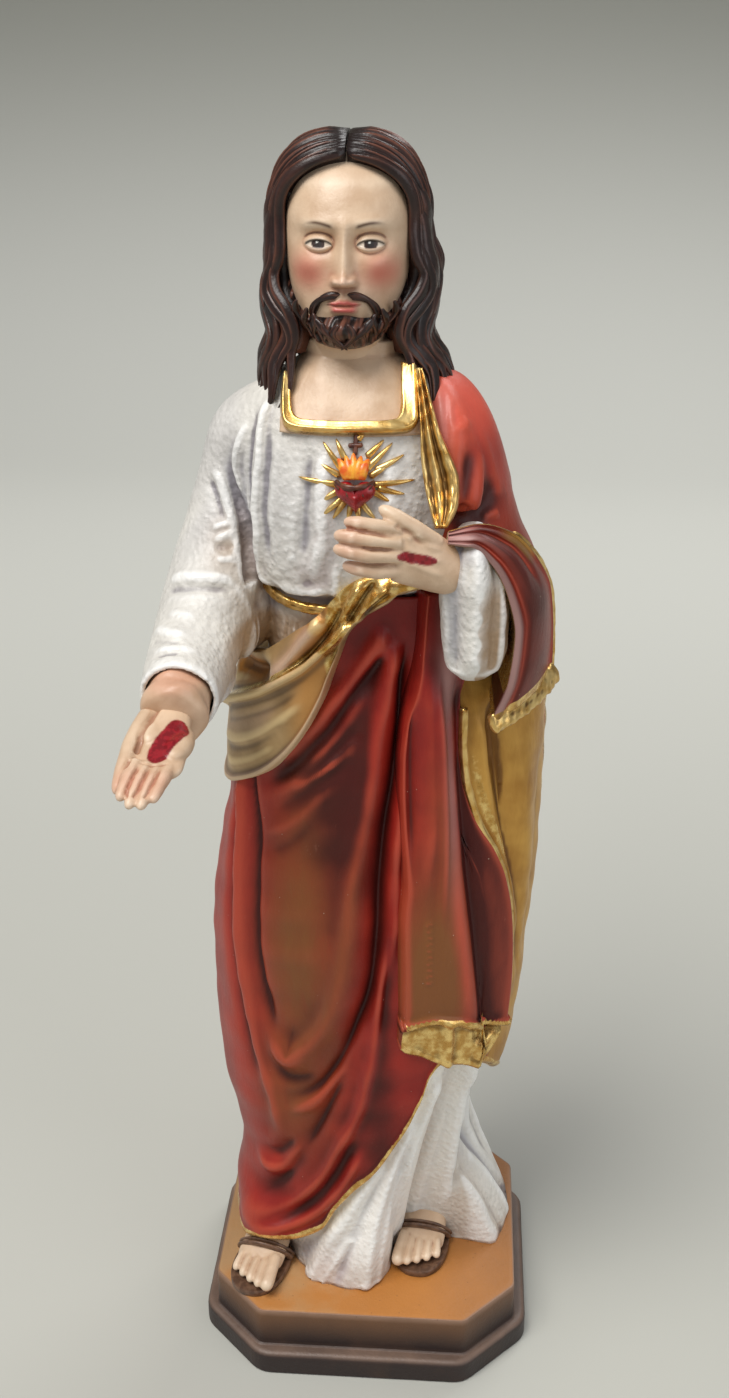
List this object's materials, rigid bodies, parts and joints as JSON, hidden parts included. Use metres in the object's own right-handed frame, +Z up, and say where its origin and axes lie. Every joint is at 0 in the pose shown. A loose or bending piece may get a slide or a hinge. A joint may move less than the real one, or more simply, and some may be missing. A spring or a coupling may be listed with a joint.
{
  "type": "sacred heart statue",
  "caption": "Robed standing figure with one hand held out and one on the breast, cast in resin on a plinth with cut corners.",
  "frame": {"origin": "centre of the plinth's underside", "axes": "+Z up, the figure faces -Y, +X towards its left hand"},
  "size_m": [0.059, 0.0762, 0.2],
  "materials": {
    "figure_paint": "satin paint on resin",
    "plinth_paint": "satin paint on resin, ochre top and dark brown sides"
  },
  "bodies": {
    "root": {"figure": "figure_paint", "plinth": "plinth_paint"}
  },
  "joints": []
}
